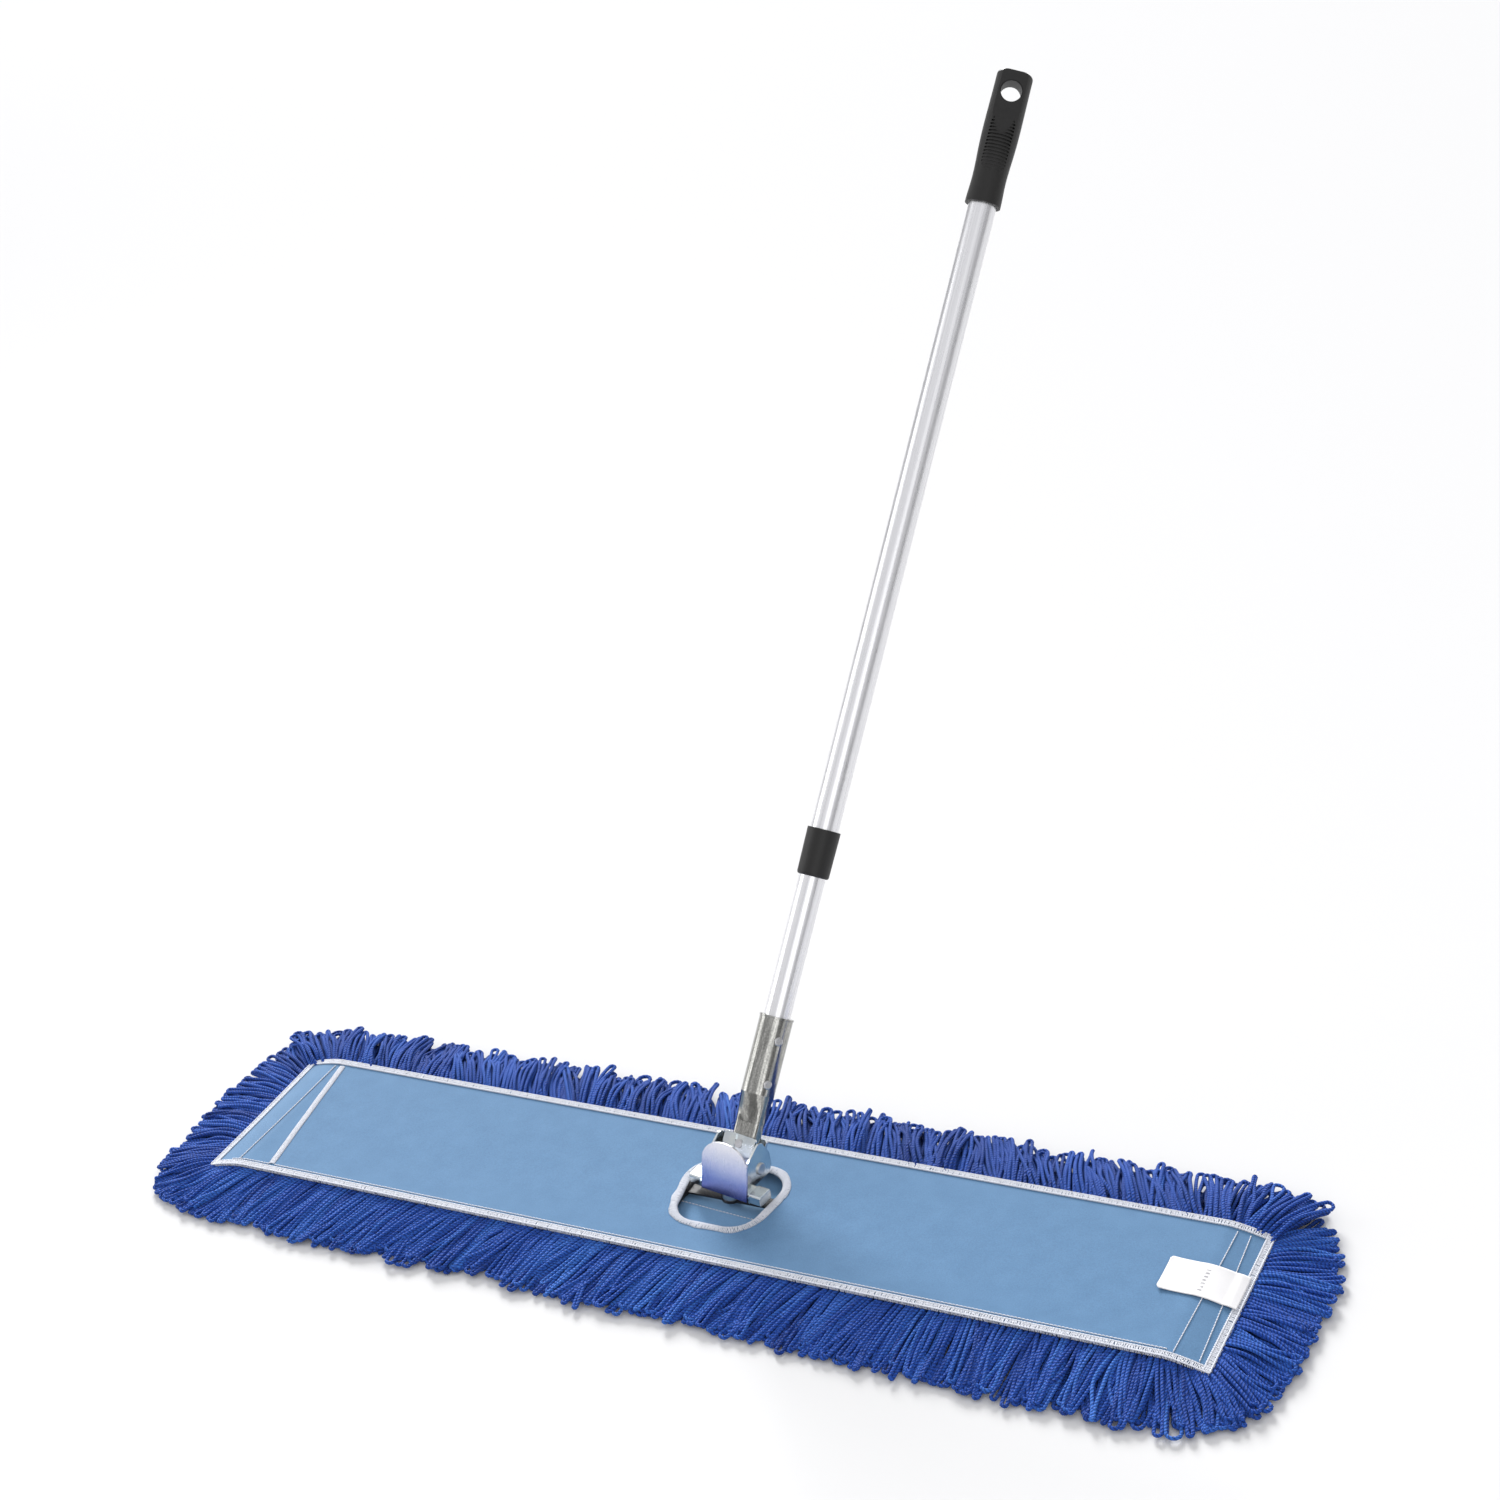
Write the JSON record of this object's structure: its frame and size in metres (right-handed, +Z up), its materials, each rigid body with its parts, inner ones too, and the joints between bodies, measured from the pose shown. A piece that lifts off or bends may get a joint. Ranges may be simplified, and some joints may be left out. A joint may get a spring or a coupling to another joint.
{
  "type": "flat mop",
  "caption": "Flat dust mop: fringed yarn head over a wire frame, clip-on swivel connector and telescoping pole with a hanging grip.",
  "frame": {"origin": "on the floor, under the middle of the mop head", "axes": "+X along the head, +Z up, +Y away from the side that the clip opens towards"},
  "size_m": [1.15, 0.8088, 0.8317],
  "materials": {
    "yarn": "matte",
    "cloth": "matte",
    "thread": "matte",
    "label_tape": "satin",
    "black_wire": "gloss",
    "zinc_plate": "gloss",
    "pin_steel": "satin",
    "spring_steel": "satin",
    "galvanised": "satin",
    "tube_aluminium": "satin",
    "black_plastic": "satin",
    "grey_plastic": "matte"
  },
  "bodies": {
    "mop_head": {"yarn_base": "yarn", "fringe_near": "yarn", "fringe_far": "yarn", "fringe_left": "yarn", "fringe_right": "yarn", "backing_lower": "cloth", "backing_upper": "cloth", "pocket_panel": "cloth", "edge_seam": "thread", "opening_seam": "thread", "slot_seam": "thread", "label": "label_tape", "frame_wire_left": "black_wire", "frame_wire_right": "black_wire", "cross_wire_left": "black_wire", "cross_wire_right": "black_wire", "centre_strap": "black_wire", "swivel_washer": "pin_steel", "swivel_rivet": "pin_steel"},
    "clip": {"swivel_bar": "zinc_plate", "clip_bracket": "zinc_plate", "tilt_pin": "pin_steel", "lever_pin": "pin_steel"},
    "release_lever": {"clip_lever": "zinc_plate", "lever_spring": "spring_steel"},
    "knuckle": {"knuckle": "zinc_plate", "swing_rivet": "pin_steel"},
    "ferrule": {"ferrule": "galvanised", "ferrule_bush": "black_plastic", "ferrule_screws": "pin_steel", "lower_tube": "tube_aluminium", "guide_plug": "grey_plastic"},
    "pole": {"upper_tube": "tube_aluminium", "collet": "grey_plastic", "grip": "black_plastic"},
    "collar": {"lock_collar": "black_plastic"}
  },
  "joints": [
    {"name": "head_swivel", "type": "hinge", "parent": "mop_head", "child": "clip", "pos_m": [0.0235, 0.006, 0.0273], "axis": [0, 0, 1], "range_deg": [-80, 100]},
    {"name": "handle_tilt", "type": "hinge", "parent": "clip", "child": "knuckle", "pos_m": [0.02671, 0.02422, 0.042], "axis": [-0.9848, 0.1736, 0], "range_deg": [-48, 41]},
    {"name": "handle_side_swing", "type": "hinge", "parent": "knuckle", "child": "ferrule", "pos_m": [0.02844, 0.03403, 0.05452], "axis": [-0.1359, -0.7707, 0.6225], "range_deg": [-30, 30]},
    {"name": "lever_press", "type": "hinge", "parent": "clip", "child": "release_lever", "pos_m": [0.02367, 0.00698, 0.042], "axis": [-0.9848, 0.1736, 0], "range_deg": [0, 12], "stiffness_Nm_per_rad": 0.6, "springref_deg": -8.59},
    {"name": "pole_extend", "type": "slide", "parent": "ferrule", "child": "pole", "axis": [0.1081, 0.6131, 0.7826], "range_m": [0, 0.5]},
    {"name": "collar_twist", "type": "hinge", "parent": "pole", "child": "collar", "pos_m": [0.05698, 0.19587, 0.26113], "axis": [0.1081, 0.6131, 0.7826], "range_deg": [0, 90]}
  ]
}
